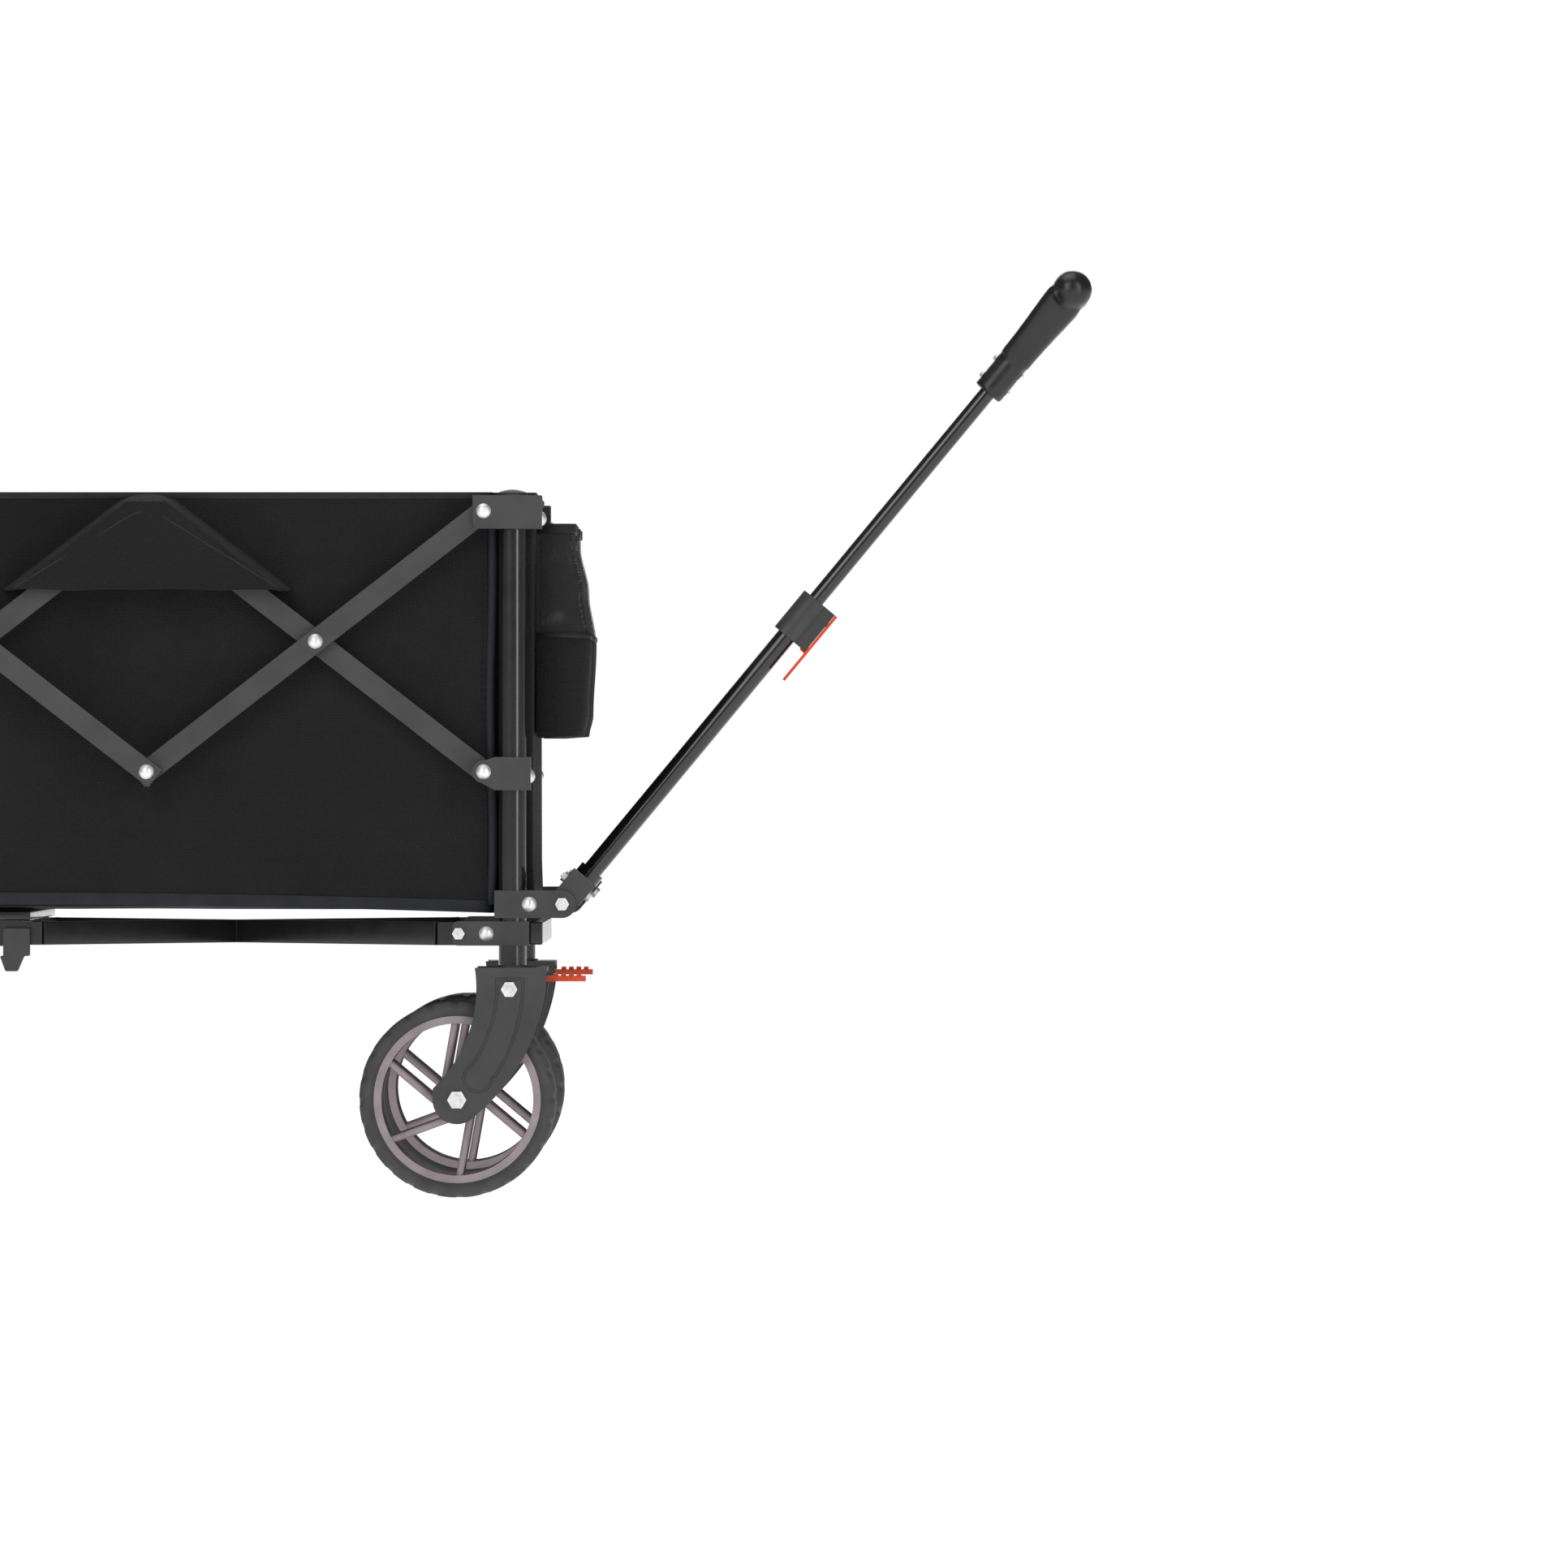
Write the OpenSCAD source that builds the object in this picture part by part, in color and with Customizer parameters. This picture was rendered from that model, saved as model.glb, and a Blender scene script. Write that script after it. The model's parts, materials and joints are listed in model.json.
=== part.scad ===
// Folding garden wagon with a telescopic pull handle. Millimetres, +Z up, +X towards the handle.
// The wagon is drawn about its own middle, and placed() moves it so that the origin is under
// the middle of the whole object's box.

/* [Track and posts] */
// Distance of each pair of corner posts from the wagon's middle
post_x = 482.7; // [482.5:0.1:484]
// Distance of each corner post from the centre line
post_y = 220; // [218:1:222]
// Height of a corner post's top end
post_top = 603.5; // [602:0.5:603.5]
// Height of a corner post's bottom end
post_bottom = 209.5; // [209.5:0.5:210]

/* [Side linkage] */
// Distance of the side linkage's end pivots from the wagon's middle
pivot_x = 457; // [456:0.5:458]
// Height of the linkage's lower pivots
pivot_low = 384.6; // [383:0.1:386]
// Height of the linkage's upper pivots above the lower ones
pivot_rise = 236; // [235:0.5:237]
// Width of a linkage bar
bar_w = 20; // [18:0.5:20]
// Thickness of a linkage bar
bar_t = 9; // [8:0.5:9]

/* [Base] */
// Height of the base pivots
base_z = 238; // [238:0.5:238.5]
// Distance of the hub pivots from the wagon's middle
hub_pivot_x = 35.3; // [35:0.1:36]
// Distance of the base's outer pivots from the wagon's middle
base_pivot_x = 434.1; // [433:0.1:435]
// Width of a base tube
tube_w = 15; // [14:0.5:15]
// Height of a base tube
tube_h = 21; // [20:0.5:21]

/* [Tub] */
// Height of the tub's top edge
tub_top = 638; // [637:0.5:638]
// Height of the underside of the tub
tub_bottom = 258.3; // [258.3:0.1:258.5]
// Thickness of the tub's fabric
cloth_t = 2.5; // [2:0.1:3]
// Half of the tub's width
tub_side = 218; // [217:0.5:218]

/* [Wheels] */
// Radius of a wheel over its tyre
wheel_r = 88.6; // [87:0.1:88.6]
// Width of a wheel's tyre
wheel_w = 96; // [90:1:96]
// Distance of an axle behind its post
axle_trail = 49; // [48:0.5:50]
// Number of spokes on each face of a wheel
spokes = 6; // [5:1:8]

/* [Handle] */
// Angle of the pull handle above level
handle_tilt = 50.4; // [45:0.1:55]
// Distance of the handle's pivot from the wagon's middle
handle_x = 527.9; // [527.5:0.1:529]
// Height of the handle's pivot
handle_z = 264.7; // [264:0.1:265.5]
// Distance from the pivot to the lower tube's open end
lower_len = 330; // [325:1:335]
// Distance from the pivot to the axis of the hand bar
grip_reach = 731; // [725:1:740]

/* [Hidden] */
$fn = 48;
over = 1;                    // how far a cutting shape passes a face

satin = "#4b4b4d";
gloss = "#1b1b1d";
silver = "#dcdde0";
orange = "#d7411e";
cloth = "#262628";
mesh_black = "#303032";
rubber = "#474749";
mauve = "#9b8f93";

// Clearances
run = 0.05;                  // a pin in its hole
gap = 0.5;                   // between plates that pass each other
ease = 0.2;                  // between a rivet's head and what turns under it

// Posts and the tubes that slide up out of them
post_r = 12.5;
post_bore = 11;
inner_r = 10.9;
inner_bore = 9.6;
inner_bottom = 400;
stem_r = 5;
stem_top = 240;
plug_bottom = 212;

// Side linkage: three crossed pairs of bars, with layers counted outwards
pivot_top = pivot_low + pivot_rise;
module_w = 2 * pivot_x / 3;
layer_pitch = bar_t + 1;
layer_0 = post_y + 1.5;
rivet_r = 2.5;
head_r = 6.75;
head_h = 4;
tail_r = 4.5;
tail_t = 1.5;
bar_wall = 1.2;
top_front = [pivot_x, pivot_top];
low_front = [pivot_x, pivot_low];
top_mid = [module_w / 2, pivot_top];
low_mid = [module_w / 2, pivot_low];

// Brackets
sheet = 2.5;
side_out = post_y + 22;
side_in = post_y - 16.5;
block_x = 468.5;             // where the blocks around the posts begin
low_nose_r = 10.3;
low_web_x = 496.8;
low_bracket_h = [367.9, 397.9];
top_plate = [[447.1, 604.4], [509.6, 634.6]];
cap_top = 640.4;
top_bar = [[488, 606], [500, 630]];
cheek_out = post_y + 13.5;
cheek_in = post_y - 16;
base_plate = [[428.7, 227.2], [497, 249.3]];
cross_bar = [[498.2, 228], [510.2, 249]];
handle_plate_low = 252.2;
handle_plate_high = 277.2;
handle_web_x = 466.5;
handle_eye_r = 12.5;

// Base frames and hub
lug_t = 12;
lug_r = 10.5;
hub_pin_r = 3.5;
base_bolt_r = 3;
arm_in = [52, 195];          // where an arm leaves its inner lug
arm_out_x = 418;             // where an arm meets its outer lug
arm_wall = 1.5;
hub_x = 45;
hub_y = 204;
hub_top = 258;
hub_plate_z = 250;
hub_low = 226.5;
hub_lug_r = 11.5;
cheek_y = [186, 201.5];
foot_box = [[21, 204, 217.6], [45, 218, 243]];
foot_tip = 203.7;

// Tub, flaps and pockets
tub_x = 464.5;
tub_end_x = 503.5;
tub_end_y = 201;
flap_y = post_y + 38;
flap_base = 549;
flap_half = 132;
flap_top = 637;
flap_top_half = 22;
flap_t = 2;
pocket_y = [45, 190];
pocket_t = 2;
mat_low = 261;
mat_high = 271;
mat_x = 458;
mat_y = 212;

// Wheels and forks
axle_x = post_x - axle_trail;
axle_z = wheel_r;
axle_r = 4;
tyre_in = 75.5;
shoulder = 9;
rim_lip = 68.6;
rim_barrel = 73.5;
rim_half = 45;
lip_in = 38;
rim_hub_r = 22;
rim_hub_half = 50;
spoke_r = 3.2;
spoke_y = 40;
spoke_offset = 14;
spoke_turn = 80;
fork_in = 52;
fork_out = 56;
fork_top = 207.8;
crown_low = 203.8;
fork_arc_back = [327.84, 189.18, 123.35];
fork_arc_front = [338.15, 211.39, 177.04];
fork_eye_r = 22;
fork_x = [451.9, 514.6];
groove_h = 1.2;
groove_w = 3;
groove_back = [338.1, 193.5, 130.35];
groove_front = [331.9, 196.8, 163.07];
groove_low = [452.6, 108.5, 14];
groove_top = 199;
bearing_r = 15;
pedal_pivot = [480.9, 188.2];
pedal_pin_r = 3;

// Handle, drawn level along +X from its pivot and then tilted
yoke_u = [10, 29];
yoke_end_u = 32;
yoke_v = 9.8;
yoke_cheek = [post_y + 9.5, post_y + 13];
yoke_flange_in = post_y - 20;
handle_bolt_r = 3;
lower_r = 9;
lower_bore = 7.7;
upper_r = 7.5;
upper_bore = 6.3;
upper_from = 268;
upper_to = 645;
collar_u = [318.4, 361.6];
collar_r = 14;
lug_low = -22.3;
lug_half = 8;
lever_u = [285.5, 361.6];
lever_v = [-25.3, -22.6];
lever_pivot = [320, -19.5];
grip_from = 609;
grip_neck = 655;
grip_r = 14.5;
grip_arm_d = 15.5;
grip_arm_w = 9;
hand_r = 18;
hand_half = 44;

// The whole object's ends along X, for the origin
tail_x = -post_x - axle_trail - wheel_r;
nose_x = handle_x + grip_reach * cos(handle_tilt) + hand_r;
origin_x = (tail_x + nose_x) / 2;

// ---- shapes that repeat ----
module placed() translate([-origin_x, 0, 0]) children();
module block(low, high) translate(low) cube(high - low);
module both_sides() {
    children();
    mirror([0, 1, 0]) children();
}
module at_rear() mirror([1, 0, 0]) children();

// A flat shape in the XZ plane, extruded from y0 to y1
module plate_y(y0, y1) translate([0, y1, 0]) rotate([90, 0, 0]) linear_extrude(y1 - y0) children();
module rect(low, high) translate(low) square(high - low);
module pin_y(p, r, y0, y1) translate([p[0], y1, p[1]]) rotate([90, 0, 0]) cylinder(r = r, h = y1 - y0);
module pin_x(y, z, r, x0, x1) translate([x0, y, z]) rotate([0, 90, 0]) cylinder(r = r, h = x1 - x0);
module pin_z(x, y, r, z0, z1) translate([x, y, z0]) cylinder(r = r, h = z1 - z0);

// A shallow dome standing on the XY plane
module dome(r, h) {
    ball = (r * r + h * h) / (2 * h);
    intersection() {
        translate([0, 0, h - ball]) sphere(ball);
        cylinder(r = r, h = h);
    }
}

// A rivet along Y with its domed head outwards and a flat tail inwards
module rivet_y(p, y_in, y_out, tail) {
    pin_y(p, rivet_r, tail ? y_in - ease : y_in, y_out + ease);
    translate([p[0], y_out + ease, p[1]]) rotate([-90, 0, 0]) dome(head_r, head_h);
    if (tail) pin_y(p, tail_r, y_in - ease - tail_t, y_in - ease);
}

// A hexagon along Y
module hex_y(p, across, y0, y1)
    translate([p[0], y1, p[1]]) rotate([90, 0, 0]) cylinder(r = across / sqrt(3), h = y1 - y0, $fn = 6);

// A bolt along Y with a hexagon head outwards, a nut inwards and a thread end past each
module bolt_y(p, r, across, y_in, y_out) {
    pin_y(p, r, y_in - 5.5, y_out + 5);
    hex_y(p, across, y_out, y_out + 3.6);
    hex_y(p, across, y_in - 4, y_in);
}

// ---- side linkage ----
function layer_y(n) = layer_0 + n * layer_pitch;

// A hollow bar from p to q in layer n, with its three rivet holes
module bar(p, q, n, square_end) {
    len = norm(q - p);
    y0 = layer_y(n);
    half = bar_w / 2;
    translate([p[0], 0, p[1]]) rotate([0, -atan2(q[1] - p[1], q[0] - p[0]), 0]) difference() {
        union() {
            block([0, y0, -half], [len, y0 + bar_t, half]);
            pin_y([0, 0], half, y0, y0 + bar_t);
            if (square_end) block([len, y0, -half], [len + half, y0 + bar_t, half]);
            if (!square_end) pin_y([len, 0], half, y0, y0 + bar_t);
        }
        for (s = [half + 4, len / 2 + half])
            block([s, y0 + bar_wall, bar_wall - half],
                  [s + len / 2 - 2 * half - 4, y0 + bar_t - bar_wall, half - bar_wall]);
        for (s = [0, len / 2, len]) pin_y([s, 0], rivet_r + run, y0 - over, y0 + bar_t + over);
    }
}
function back(p) = [-p[0], p[1]];
function middle(p, q) = (p + q) / 2;

module bars_front_falling() placed() color(satin) both_sides() bar(top_front, low_mid, 1, true);
module bars_front_rising() placed() color(satin) both_sides() bar(low_front, top_mid, 0, false);
module bars_middle_falling() placed() color(satin) both_sides() bar(back(top_mid), low_mid, 2, true);
module bars_middle_rising() placed() color(satin) both_sides() bar(top_mid, back(low_mid), 1, true);
module bars_rear_rising() placed() color(satin) both_sides() bar(back(low_front), back(top_mid), 1, false);
module bars_rear_falling() placed() color(satin) both_sides() bar(back(top_front), back(low_mid), 0, true);

// Rivets between layers, each on the bar whose name it has
module rivets_front() placed() color(silver) both_sides() {
    rivet_y(middle(top_front, low_mid), layer_y(0), layer_y(1) + bar_t, true);
    rivet_y(low_mid, layer_y(1), layer_y(2) + bar_t, true);
}
module rivets_middle_falling() placed() color(silver) both_sides() {
    rivet_y(middle(back(top_mid), low_mid), layer_y(2), layer_y(2) + bar_t, false);
    rivet_y(back(top_mid), layer_y(2), layer_y(2) + bar_t, false);
}
module rivets_middle_rising() placed() color(silver) both_sides() {
    rivet_y(top_mid, layer_y(1), layer_y(1) + bar_t, false);
    rivet_y(back(low_mid), layer_y(0), layer_y(1) + bar_t, true);
}
module rivets_rear() placed() color(silver) both_sides()
    rivet_y(back(middle(top_front, low_mid)), layer_y(0), layer_y(1) + bar_t, true);

// ---- corner posts and what slides in them ----
module posts() color(gloss) both_sides() difference() {
    pin_z(post_x, post_y, post_r, post_bottom, post_top);
    pin_z(post_x, post_y, post_bore, stem_top, post_top + over);
    pin_z(post_x, post_y, stem_r + run, post_bottom - over, stem_top + over);
    pin_z(post_x, post_y, post_bore, post_bottom - over, plug_bottom);
}
module top_frame() color(gloss) {
    both_sides() difference() {
        pin_z(post_x, post_y, inner_r, inner_bottom, top_plate[1][1]);
        pin_z(post_x, post_y, inner_bore, inner_bottom - over, top_plate[1][1] - sheet);
    }
    difference() {
        block([top_bar[0][0], -side_in, top_bar[0][1]], [top_bar[1][0], side_in, top_bar[1][1]]);
        block([top_bar[0][0] + arm_wall, -side_in + sheet, top_bar[0][1] + arm_wall],
              [top_bar[1][0] - arm_wall, side_in - sheet, top_bar[1][1] - arm_wall]);
    }
}
module post_hole(r, z0, z1) pin_z(post_x, post_y, r, z0 - over, z1 + over);

// Wrapped plate at the top of a post, with a cap
module top_brackets() color(satin) both_sides() {
    low = top_plate[0];
    high = top_plate[1];
    corner = 5;
    difference() {
        union() {
            plate_y(side_out, side_out + sheet) {
                rect([low[0] + corner, low[1]], high);
                rect([low[0], low[1] + corner], high);
                translate(low + [corner, corner]) circle(corner);
            }
            block([block_x, side_in, low[1]], [high[0], side_in + sheet, high[1]]);
            block([high[0] - sheet, side_in, low[1]], [high[0], side_out + sheet, high[1]]);
            block([block_x, side_in, low[1]], [high[0], side_out + sheet, high[1] - 1]);
            pin_z(post_x, post_y, post_r + 1, high[1] - 1, cap_top - 3);
            translate([post_x, post_y, cap_top - 3]) dome(post_r + 1, 3);
        }
        pin_z(post_x, post_y, inner_r + run, low[1] - over, high[1] + run);
        pin_y(top_front, rivet_r + run, side_out - over, side_out + sheet + over);
        pin_x(post_y, low[1] + 9.3, rivet_r + run, high[0] - 10, high[0] + over);
    }
}
module top_rivets(n) color(silver) both_sides() {
    rivet_y(top_front, layer_y(n), side_out + sheet, true);
    if (n == 0) pin_y(top_front, tail_r, layer_y(0) + bar_t + gap, side_out);
    pin_x(post_y, top_plate[0][1] + 9.3, rivet_r, top_plate[1][0] - 9, top_plate[1][0]);
    translate([top_plate[1][0], post_y, top_plate[0][1] + 9.3]) rotate([0, 90, 0]) dome(head_r, head_h);
}

// Nosed plate half way up a post
module side_brackets() color(satin) both_sides() {
    low = low_bracket_h[0];
    high = low_bracket_h[1];
    web = low_web_x + sheet;
    nose = pivot_x - 7.3;
    difference() {
        union() {
            plate_y(side_out, side_out + sheet) {
                translate(low_front) circle(low_nose_r);
                polygon([[nose, pivot_low - 7.3], [pivot_x + 10, low], [web, low], [web, high],
                         [pivot_x + 10, high], [nose, pivot_low + 7.3]]);
            }
            block([block_x, side_in, low], [web, side_out + sheet, high]);
        }
        post_hole(post_r + run, low, high);
        pin_y(low_front, rivet_r + run, side_out - over, side_out + sheet + over);
    }
}

// Cheeks round the foot of a post, which hold the base frame's bolt
module base_brackets() color(satin) both_sides() {
    low = base_plate[0];
    high = base_plate[1];
    corner = 5;
    difference() {
        union() {
            for (y = [cheek_out, cheek_in]) plate_y(y, y + sheet) {
                rect([low[0] + corner, low[1]], high);
                rect([low[0], low[1] + corner], [high[0], high[1] - corner]);
                for (z = [low[1] + corner, high[1] - corner]) translate([low[0] + corner, z]) circle(corner);
            }
            block([block_x, cheek_in, low[1]], [cross_bar[0][0], cheek_out + sheet, high[1]]);
        }
        post_hole(post_r + run, low[1], high[1]);
        pin_y([base_pivot_x, base_z], base_bolt_r + run, cheek_in - over, cheek_out + sheet + over);
        pin_y([base_pivot_x + 25.2, base_z], rivet_r + run, cheek_in - over, cheek_out + sheet + over);
    }
}
module cross_bar() color(gloss) difference() {
    block([cross_bar[0][0], -post_y - 10, cross_bar[0][1]], [cross_bar[1][0], post_y + 10, cross_bar[1][1]]);
    block([cross_bar[0][0] + arm_wall, -post_y - 8, cross_bar[0][1] + arm_wall],
          [cross_bar[1][0] - arm_wall, post_y + 8, cross_bar[1][1] - arm_wall]);
}

// Forward ears that carry the pull handle's pivot
module handle_brackets() placed() color(satin) both_sides() {
    low = handle_plate_low;
    high = handle_plate_high;
    inner_end = 505;
    difference() {
        union() {
            plate_y(cheek_out, cheek_out + sheet) {
                rect([handle_web_x, low], [handle_x, high]);
                translate([handle_x, (low + high) / 2]) circle(handle_eye_r);
            }
            block([handle_web_x, cheek_in, low], [inner_end, cheek_out + sheet, high]);
        }
        post_hole(post_r + run, low, high);
        pin_y([handle_x, handle_z], handle_bolt_r + run, cheek_out - over, cheek_out + sheet + over);
        pin_y([inner_end - 6.8, handle_z], rivet_r + run, cheek_in - over, cheek_out + sheet + over);
    }
}

// Rivets and bolts of the lower brackets at one end, where the lower bars lie in layer n
module end_fasteners(handle, n) color(silver) both_sides() {
    rivet_y(low_front, layer_y(n), side_out + sheet, true);
    if (n == 0) pin_y(low_front, tail_r, layer_y(0) + bar_t + gap, side_out);
    translate([low_web_x + sheet, post_y, pivot_low - 3.7]) rotate([0, 90, 0]) dome(head_r, head_h);
    bolt_y([base_pivot_x, base_z], base_bolt_r, 10, cheek_in, cheek_out + sheet);
    rivet_y([base_pivot_x + 25.2, base_z], cheek_in, cheek_out + sheet, true);
    pin_y([base_pivot_x + 25.2, base_z], tail_r, cheek_in + sheet, cheek_out);
    if (handle) {
        rivet_y([498.2, handle_z], cheek_in, cheek_out + sheet, true);
        bolt_y([handle_x, handle_z], handle_bolt_r, 11, yoke_cheek[0], cheek_out + sheet);
    }
}

module front_posts() placed() posts();
module front_base_brackets() placed() base_brackets();
module front_cross_bar() placed() cross_bar();
module front_side_brackets() placed() side_brackets();
module front_fasteners() placed() end_fasteners(true, 0);
module front_top_frame() placed() top_frame();
module front_top_brackets() placed() top_brackets();
module front_top_rivets() placed() top_rivets(1);
module rear_posts() placed() at_rear() posts();
module rear_base_brackets() placed() at_rear() base_brackets();
module rear_cross_bar() placed() at_rear() cross_bar();
module rear_side_brackets() placed() at_rear() side_brackets();
module rear_top_frame() placed() at_rear() top_frame();
module rear_top_brackets() placed() at_rear() top_brackets();
module rear_top_rivets() placed() at_rear() top_rivets(0);
module rear_fasteners() placed() {
    at_rear() end_fasteners(false, 1);
    for (y = [-post_y, post_y]) translate([-2 * post_x, y, 0]) fork_bolts();
}

// ---- base ----
// A crossed pair of tubes with an eye at each end
module base_x() color(gloss) {
    low = base_z - tube_h / 2;
    high = base_z + tube_h / 2;
    out = [arm_out_x, -post_y];
    len = norm(out - arm_in);
    difference() {
        union() {
            for (m = [0, 1]) mirror([0, m, 0]) {
                translate([arm_in[0], arm_in[1], low]) rotate([0, 0, atan2(out[1] - arm_in[1], out[0] - arm_in[0])])
                    translate([0, -tube_w / 2, 0]) cube([len, tube_w, tube_h]);
                block([hub_pivot_x, arm_in[1] - lug_t / 2, low], [arm_in[0] + 3, arm_in[1] + lug_t / 2, high]);
                pin_y([hub_pivot_x, base_z], lug_r, arm_in[1] - lug_t / 2, arm_in[1] + lug_t / 2);
                block([arm_out_x - 3, post_y - lug_t / 2, low], [base_pivot_x, post_y + lug_t / 2, high]);
                pin_y([base_pivot_x, base_z], lug_r, post_y - lug_t / 2, post_y + lug_t / 2);
            }
        }
        for (m = [0, 1]) mirror([0, m, 0]) {
            translate([arm_in[0], arm_in[1], low + arm_wall])
                rotate([0, 0, atan2(out[1] - arm_in[1], out[0] - arm_in[0])])
                translate([lug_t, arm_wall - tube_w / 2, 0])
                cube([len - 2 * lug_t, tube_w - 2 * arm_wall, tube_h - 2 * arm_wall]);
            pin_y([hub_pivot_x, base_z], hub_pin_r + run, arm_in[1] - lug_t, arm_in[1] + lug_t);
            pin_y([base_pivot_x, base_z], base_bolt_r + run, post_y - lug_t, post_y + lug_t);
        }
    }
}
module base_x_front() placed() base_x();
module base_x_rear() placed() at_rear() base_x();

module hub_plate() placed() color(gloss)
    block([-hub_x, -hub_y, hub_plate_z], [hub_x, hub_y, hub_top]);
module hub_links() placed() color(gloss) both_sides() {
    for (y = cheek_y) plate_y(y, y + sheet) {
        rect([-hub_pivot_x, hub_low], [hub_pivot_x, hub_plate_z]);
        for (x = [-hub_pivot_x, hub_pivot_x]) translate([x, base_z]) circle(hub_lug_r);
    }
    block([-lug_t - 2, cheek_y[0], hub_low], [lug_t + 2, cheek_y[1] + sheet, hub_plate_z]);
    for (x = [-hub_pivot_x, hub_pivot_x]) pin_y([x, base_z], hub_pin_r, cheek_y[0], cheek_y[1] + sheet);
}

// Plastic feet that the folded wagon stands on, on two opposite corners
module hub_feet() placed() color(satin) for (turn = [0, 180]) rotate([0, 0, turn]) mirror([0, 1, 0]) {
    low = foot_box[0];
    high = foot_box[1];
    block(low, high);
    plate_y(low[1], high[1])
        polygon([[low[0] - 3, low[2]], [high[0] - 5, low[2]], [high[0] - 11, foot_tip], [low[0] + 2, foot_tip]]);
}

// ---- tub ----
module tub_box(inset, low, high) {
    block([inset - tub_x, inset - tub_side, low], [tub_x - inset, tub_side - inset, high]);
    block([inset - tub_end_x, inset - tub_end_y, low], [tub_end_x - inset, tub_end_y - inset, high]);
}
module tub() placed() color(cloth) difference() {
    tub_box(0, tub_bottom, tub_top);
    tub_box(cloth_t, tub_bottom + cloth_t, tub_top + over);
    for (m = [0, 1]) mirror([m, 0, 0])
        block([top_bar[0][0] - 1.5, -tub_end_y - over, top_bar[0][1] - 1.5],
              [tub_end_x - cloth_t, tub_end_y + over, top_bar[1][1] + 1.5]);
}
module flap_outline(inset)
    polygon([[inset * 2 - flap_half, flap_base - 3 * inset], [inset - flap_top_half, flap_top - inset],
             [flap_top_half - inset, flap_top - inset], [flap_half - inset * 2, flap_base - 3 * inset]]);
module tub_flaps() placed() color(cloth) both_sides() for (x = [-module_w / 2, module_w / 2])
    translate([x, 0, 0]) difference() {
        plate_y(tub_side, flap_y) flap_outline(0);
        plate_y(tub_side - over, flap_y - flap_t) flap_outline(flap_t);
    }
module pocket_outline(inset)
    polygon([[tub_end_x + inset, 418 + inset], [545 - inset, 418 + inset], [552.5 - inset, 502],
             [538.5 - inset, 610], [538.5 - inset, 610 + 2 * inset], [tub_end_x + inset, 610 + 2 * inset]]);
module front_pockets() placed() color(mesh_black) both_sides() difference() {
    plate_y(pocket_y[0], pocket_y[1]) pocket_outline(0);
    plate_y(pocket_y[0] + pocket_t, pocket_y[1] - pocket_t) pocket_outline(pocket_t);
}
module floor_mat() placed() color(cloth)
    block([-mat_x, -mat_y, mat_low], [mat_x, mat_y, mat_high]);

// ---- wheels ----
module wheel_at(x, y) placed() translate([x, y, axle_z]) rotate([90, 0, 0]) children();
module tyre() color(rubber) rotate_extrude($fn = 96) {
    half = wheel_w / 2;
    rect([tyre_in, -half], [wheel_r - shoulder, half]);
    rect([tyre_in, shoulder - half], [wheel_r, half - shoulder]);
    for (s = [-1, 1]) intersection() {
        translate([wheel_r - shoulder, s * (half - shoulder)]) circle(shoulder);
        rect([tyre_in, -half], [wheel_r, half]);
    }
}
module rim() color(mauve) {
    difference() {
        union() {
            rotate_extrude($fn = 96) {
                rect([rim_barrel, -rim_half], [tyre_in - run, rim_half]);
                for (z = [-rim_half, lip_in]) rect([rim_lip, z], [tyre_in - run, z + rim_half - lip_in]);
            }
            translate([0, 0, -rim_hub_half]) cylinder(r = rim_hub_r, h = 2 * rim_hub_half);
            for (z = [-spoke_y, spoke_y]) for (k = [0 : spokes - 1])
                translate([0, 0, z]) rotate([0, 0, spoke_turn + k * 360 / spokes])
                translate([spoke_offset, spoke_offset, 0]) rotate([0, 90, 0])
                cylinder(r = spoke_r, h = rim_lip - spoke_offset + 0.5);
        }
        translate([0, 0, -rim_hub_half - over]) cylinder(r = axle_r + run, h = 2 * rim_hub_half + 2 * over);
    }
}
module tyre_front_left() wheel_at(axle_x, post_y) tyre();
module tyre_front_right() wheel_at(axle_x, -post_y) tyre();
module tyre_rear_left() wheel_at(axle_x - 2 * post_x, post_y) tyre();
module tyre_rear_right() wheel_at(axle_x - 2 * post_x, -post_y) tyre();
module rim_front_left() wheel_at(axle_x, post_y) rim();
module rim_front_right() wheel_at(axle_x, -post_y) rim();
module rim_rear_left() wheel_at(axle_x - 2 * post_x, post_y) rim();
module rim_rear_right() wheel_at(axle_x - 2 * post_x, -post_y) rim();

// The outline of the groove pressed into a fork's face, drawn in by inset
module groove_band(inset) {
    difference() {
        intersection() {
            translate([groove_front[0], groove_front[1]]) circle(groove_front[2] - inset, $fn = 180);
            rect([fork_x[0] - 30, groove_low[1]], [groove_front[0] + groove_front[2] - inset, groove_top - inset]);
        }
        translate([groove_back[0], groove_back[1]]) circle(groove_back[2] + inset, $fn = 180);
    }
    translate([groove_low[0], groove_low[1]]) circle(groove_low[2] - inset);
}

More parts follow.
